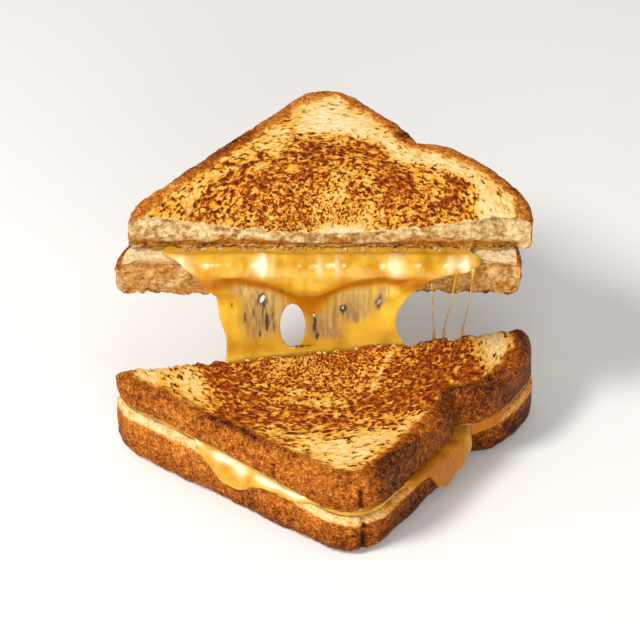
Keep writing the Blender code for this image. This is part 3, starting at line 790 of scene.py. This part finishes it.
stations = np.column_stack([leaned(ROLL[:, :2]), leaned(ROLL[:, 2:4]), ROLL[:, 4:] + UPPER_AT[0] / MM,
                            0 * ROLL[:, 0]])
stations = np.concatenate([stations, CURTAIN])
middles = (stations[:, :2] + stations[:, 2:4]) / 2
far = np.concatenate([[0], np.cumsum(np.linalg.norm(np.diff(middles, axis=0), axis=1))])
station = np.interp(np.linspace(0, far[-1], CHEESE_DOWN), far, np.arange(len(stations)))
face_y, face_z, back_y, back_z, left, right, skew = weave(stations, station).T[..., None]
turn_in = 0.035 * (1 - np.cos(np.linspace(0, np.pi / 2, 8)))
across = np.concatenate([-1 + turn_in, np.linspace(-0.965, 0.965, CHEESE_ACROSS)[1:-1], 1 - turn_in[::-1]])
x = (left + right) / 2 + across * (right - left) / 2
station = station[:, None]

# `full` is how much of the thickness is left: all above the crease and in the two legs, a quarter in the
# thin middle, and somewhat more low down, where the cheese is solid again
crease = 5.6 + 2.5 * hump(x, -6, 11) - 0.25 * hump(x, -34, 5) - 0.3 * hump(x, 21, 5)
below = ease(station - crease, -0.8, 0.8)
leg = np.maximum(1 - ease(x - left, 6, 12), 1 - ease(right - x, 5, 10))
z = face_z + 0 * x
patchy = patches(x, z, 6, 9, 230)
solid = np.maximum(ease(x, 2, 10) * ease(z + 3 * patchy, 57, 50), ease(z + 3 * patchy, 46, 40))
full = 1 - below * (1 - (0.28 + 0.72 * leg + 0.3 * solid * (1 - leg)))
hold = 0.5 * ease(station, 6.5, 8.5)
round_edge = np.sqrt(1 - (1 - np.clip(np.minimum(x - left, right - x) / 1.3, 0, 1)) ** 2)

# Tears: x, z, half width, half height and lean, the large oval first
tears = [(-11.6, 49.8, 4.7, 12.0, 0.0), (-22.7, 64.3, 0.8, 2.0, -0.25), (6.9, 59.4, 0.45, 1.0, 0.0),
         (20.3, 62.6, 0.65, 1.8, -0.3), (-3.8, 55.6, 0.45, 0.9, 0.1)]
rim = np.ones_like(x)
reach = []
for tear_x, tear_z, wide, tall, slant in tears:
    sideways, upright = x - tear_x + slant * (z - tear_z), z - tear_z
    reach.append(np.hypot(sideways / wide, upright / tall))
    rim = np.minimum(rim, np.sqrt(1 - (1 - np.clip((reach[-1] - 0.95) * wide / 0.7, 0.02, 1)) ** 2))

# Slits: x, z, half width and half height
slits = [(-29.3, 54.5, 0.45, 4.7), (-26.1, 57.4, 0.3, 2.2), (-23.8, 46.5, 0.4, 2.0),
         (-22.7, 57.6, 0.35, 3.2), (-20.9, 52.9, 0.75, 6.0), (-18.8, 56.2, 0.45, 3.0),
         (-18.5, 50.5, 0.35, 4.5), (-3.4, 50.5, 0.9, 8.0), (-2.6, 44.0, 0.7, 2.2),
         (-22.7, 63.6, 1.5, 3.6), (6.9, 58.9, 1.0, 3.2), (20.2, 62.0, 1.1, 4.2),
         (-8.2, 38.4, 2.6, 0.7), (-34.0, 62.0, 0.3, 2.0), (0.5, 66.0, 0.4, 2.2)]
frayed = patches(x, z, 0.5, 3.5, 231)
slit = np.zeros_like(x)
for slit_x, slit_z, wide, tall in slits:
    from_slit = np.hypot((x - slit_x) / (wide * 1.5), (z - slit_z) / (tall * 1.15))
    slit = np.maximum(slit, ease(from_slit + 0.45 * frayed, 1.0, 0.35))

# The roll bulges in soft knobs. The face and the back are then each a share of the way between the lines
# that the stations give, drawn together at the edges and round the tears.
bulge = bells(x, (-22.8, 3.4, 1.3), (25.5, 3.6, 1.3), (4.2, 1.5, 0.6), (-2.0, 1.2, 0.45), (-35, 5, 0.7),
              (13, 5, 0.7), (-29.5, 1.0, 0.3), (36, 2.5, 0.7)) * hump(station, 3.2, 1.7)
bulge += bells(x, (46, 2.2, 0.8), (51.5, 2.2, 0.8), (-52, 4, 0.9)) * hump(station, 3.1, 0.9)
ripple = patches(x, z, 2, 14, 232)
waves = patches(x, z, 6, 8, 233)
bulge += (0.30 * ripple + 0.50 * waves) * ease(station, 0.8, 3.0) * (1 - 0.6 * below)
deep_y, deep_z = face_y - back_y, face_z - back_z
thick = np.hypot(deep_y, deep_z)
back_part = hold * (1 - full)
mid_part = back_part + full / 2 + 0.5 * bulge / thick
half_part = (full / 2 + 0.5 * bulge / thick) * round_edge * rim
sheets = []
for side in (1, -1):
    part = mid_part + side * half_part
    sheets.append(np.stack([x, back_y + deep_y * part + x * skew, back_z + deep_z * part], axis=2))
faces, kept = tear_open(sheets, tears, reach)

# Painted highlights: near white patches on the roll's knobs.
milky = bells(x, (-22.8, 2.8, 1.2), (26.5, 2.6, 1.1), (-54, 4, 1.2), (47, 2, 0.8), (52, 2, 0.9),
              (-1.5, 1.2, 0.6), (5, 1, 0.5)) * hump(station, 3.2, 1.1) * (0.8 + 0.5 * ripple)
# Painted shade: darker patches of thin film round the slits.
shade_behind_film = 0.42 * hump(x, -24, 6) * hump(z, 54, 8) * (1 + frayed) + 0.35 * hump(x, -3.2, 2) * hump(z, 50, 8)
# The thin film is grey-tan: painted shade seen through the thin cheese.
thin = ease(station - crease, 0.6, 1.6) * (1 - leg) * (1 - solid) * (0.9 + 0.3 * patchy)
marks = {
    "milky": np.clip(milky, 0, 0.9),
    # Painted light: below the crease the curtain is painted lighter, most to the right.
    "bright": below * (0.3 + 0.7 * ease(x, -5, 12)) * (0.75 + 0.5 * waves),
    # Painted shade: amber in the crease and faintly at the top of the roll, under the upper half.
    "deepen": np.clip(hump(station - crease, 0.1, 1.2) + 0.1 * ease(station, 2.2, 1.6), 0, 1),
    "thin": np.clip(thin, 0, 1),
    # The slits are painted dark: painted shade seen through them.
    "slit": np.maximum(slit, shade_behind_film) * ease(station - crease, 0.2, 0.7),
    "grain": np.stack([x, z * 0.10, 0 * x], axis=2) * MM,
}
for name, value in marks.items():
    marks[name] = np.concatenate([value.reshape(x.size, -1).squeeze()] * 2)[kept]
points = pressed(np.concatenate([sheet.reshape(-1, 3) for sheet in sheets])[kept] * MM) - ORIGIN
build("pulled_cheese", points, faces, marks, cheese, "melted_cheese", "cheese")

# Cheese threads: three hairs that left the right end of the roll. Each hangs from a small cone of cheese
# and runs out on the back of the lower half.
THREADS = np.array([
    [[39.3, -9.3, 74.5], [39.6, -8.6, 70.0], [40.0, -5.5, 60.0],
     [40.6, 1.5, 48.0], [41.2, 7.6, 37.5], [41.4, 8.6, 20.5]],
    [[48.4, -10.2, 81.0], [47.4, -8.6, 72.0], [46.4, -5.0, 60.0],
     [45.4, 2.5, 48.0], [44.9, 8.4, 37.5], [44.9, 9.3, 20.5]],
    [[54.4, -9.4, 81.5], [54.0, -7.8, 73.0], [53.2, -4.5, 60.0],
     [52.6, 3.5, 48.0], [52.0, 9.6, 37.5], [51.8, 10.5, 20.5]],
]) * MM
THREAD_CONES = (0.1, 0.6, 0.6)
THREAD_RINGS = 120
THREAD_SIDES = 12


def hair(way, cone):
    """A round tube along a woven path. Its radius is 0.25 mm, with a bell of `cone` mm more at its top.

    A second bell is where it meets the bread. Returns the points and how far along the stretch each is.
    """
    along = np.linspace(0, 5, THREAD_RINGS)
    path = weave(way, along) - ORIGIN
    heading = np.gradient(path, axis=0)
    heading /= np.linalg.norm(heading, axis=1, keepdims=True)
    aside = np.cross(heading, [1, 0, 0])
    aside /= np.linalg.norm(aside, axis=1, keepdims=True)
    radius = (0.25 + cone * hump(along, 0.0, 0.6) + 0.4 * hump(along, 4.1, 0.25)) * MM
    radius *= np.clip(np.minimum(along, 5 - along) * 12, 0, 1)
    around = np.linspace(0, 2 * np.pi, THREAD_SIDES + 1)[:-1, None]
    ring = aside[:, None] * np.cos(around) + np.cross(heading, aside)[:, None] * np.sin(around)
    tube = path[:, None] + radius[:, None, None] * ring
    return tube.reshape(-1, 3), np.repeat(ease(along, 0.6, 1.4), THREAD_SIDES)


# Down their stretched length the threads take the thin film's grey-tan: painted shade seen through them.
for number, (way, cone) in enumerate(zip(THREADS, THREAD_CONES), 1):
    tube, stretched = hair(way, cone)
    build(f"thread_{number}", tube, closed_faces(THREAD_RINGS, THREAD_SIDES),
          {"thin": 0.9 * stretched, "grain": tube * [1, 1, 0.2]}, cheese, "melted_cheese",
          f"cheese_thread_{number}")

# Flecks and crumbs: specks of cheese set along the rear edge of the lower half, and bread crumbs that fell
# from the upper cut and stuck to the top of the roll. Each is a small uneven ball, sunk a little where it
# lies.
LUMP_RINGS = 8
LUMP_SIDES = 10


def lumps(places, sizes, seed):
    """Flattened balls, each swollen and dented by noise. Returns the points and the faces."""
    polar = np.linspace(0, np.pi, LUMP_RINGS)
    around = np.linspace(0, 2 * np.pi, LUMP_SIDES + 1)[:-1]
    polar, around = np.meshgrid(polar, around, indexing="ij")
    ball = np.stack([np.sin(polar) * np.cos(around), np.sin(polar) * np.sin(around), np.cos(polar)], axis=2)
    ball = ball.reshape(-1, 3)
    many = (ball + places[:, None] / sizes[:, None, None] * 0.7).reshape(-1, 3)
    swell = 1 + 0.45 * drift(many, 0.9, seed)
    points = (ball * swell.reshape(len(places), -1, 1)) * sizes[:, None, None] * [1.0, 0.9, 0.7]
    faces = closed_faces(LUMP_RINGS, LUMP_SIDES) + np.arange(len(places))[:, None, None] * len(ball)
    return (points + places[:, None]).reshape(-1, 3), faces.reshape(-1, 4)


fleck_x = np.array([-28.7, -27.9, -2.0, -1.4, 0.3, 4.1, 20.5, 21.3, 47.0, 50.5, 52.8, 55.5, -36.0, 12.0])
number = np.arange(len(fleck_x))
fleck_y = 0.1655 * fleck_x - 0.9 - 0.8 * scatter(number, 1, 2, 241)
fleck_at = np.column_stack([fleck_x, fleck_y, 35.9 + 0 * fleck_x])
fleck_size = 0.35 + 0.45 * scatter(number, 3, 5, 240)
points, faces = lumps(fleck_at * MM, fleck_size * MM, 242)
fleck_marks = {"milky": np.full(len(points), 0.3), "grain": points}
build("cheese_flecks", pressed(points) - ORIGIN, faces, fleck_marks, cheese, "melted_cheese")

number = np.arange(120)
crumb_x = -58 + 112 * scatter(number, 1, 0, 250)
crumb_y = -0.2 - 1.8 * scatter(number, 2, 0, 251) ** 1.6
crumb_at = np.column_stack([crumb_x, crumb_y, -13.25 + 0 * number])
crumb_size = 0.28 + 0.75 * scatter(number, 3, 0, 252) ** 2.5
points, faces = lumps(crumb_at * MM, crumb_size * MM, 253)
each = LUMP_RINGS * LUMP_SIDES
crumb_marks = {"crumb": np.ones(len(points)), "inner": np.repeat(0.5 * scatter(number, 4, 0, 254), each),
               "soak": np.repeat(scatter(number, 5, 0, 255), each)}
build("fallen_crumbs", upper(points), faces, crumb_marks, shade_darkened_bread, "upper_top_bread")

# The table is plain and pale. A soft key lights it from the upper left and front, a low fill from the
# front, and a pale sky all round. A wider panel by the key shows only as gleams on the cheese.
floor_mesh = bpy.data.meshes.new("table")
floor_mesh.from_pydata([(-3, -3, 0), (3, -3, 0), (3, 3, 0), (-3, 3, 0)], [], [(0, 1, 2, 3)])
floor = bpy.data.objects.new("table", floor_mesh)
bpy.context.scene.collection.objects.link(floor)
floor_paint = bpy.data.materials.new("pale table")
add = nodes_of(floor_paint)
paint = add("BsdfPrincipled", Base_Color=(0.86, 0.86, 0.86, 1), Roughness=0.6)
add("OutputMaterial", Surface=paint.outputs[0])
floor_mesh.materials.append(floor_paint)

VIEW_HIGH = np.radians(38.0)
VIEW_FAR = 1.5
look = np.array([0, np.cos(VIEW_HIGH), -np.sin(VIEW_HIGH)])
rise = np.array([0, np.sin(VIEW_HIGH), np.cos(VIEW_HIGH)])
aim = np.array([0, 0, 36]) * MM - ORIGIN + rise * 11.2 * MM + np.array([-1.5 * MM, 0, 0])
camera = bpy.data.objects.new("camera", bpy.data.cameras.new("camera"))
camera.data.lens = 226.1
camera.data.sensor_width = 36.0
camera.location = aim - look * VIEW_FAR
camera.rotation_euler = (np.pi / 2 - VIEW_HIGH, 0, 0)
bpy.context.scene.collection.objects.link(camera)
bpy.context.scene.camera = camera


def softbox(name, at, size, power, tint, lit=True):
    """A square area light at this place, aimed at the middle of the sandwich. Unlit, it only reflects."""
    light = bpy.data.lights.new(name, "AREA")
    light.size = size
    light.energy = power
    light.color = tint
    holder = bpy.data.objects.new(name, light)
    holder.location = at
    towards = Vector((0, 0, 0.05)) - Vector(at)
    holder.rotation_euler = towards.to_track_quat("-Z", "Y").to_euler()
    holder.visible_diffuse = lit
    bpy.context.scene.collection.objects.link(holder)


softbox("key", (-0.55, -0.35, 0.85), 0.25, 8.6, (1.0, 0.97, 0.92))
softbox("gleam", (-0.5, -0.55, 0.8), 0.5, 26.0, (1.0, 0.98, 0.95), False)
softbox("fill", (0.2, -1.2, 0.42), 0.7, 9.0, (1.0, 0.98, 0.95))
world = bpy.data.worlds.new("pale sky")
bpy.context.scene.world = world
world.use_nodes = True
world.node_tree.nodes["Background"].inputs["Color"].default_value = (1.0, 0.97, 0.93, 1)
world.node_tree.nodes["Background"].inputs["Strength"].default_value = 0.5
bpy.context.scene.view_settings.view_transform = "Standard"
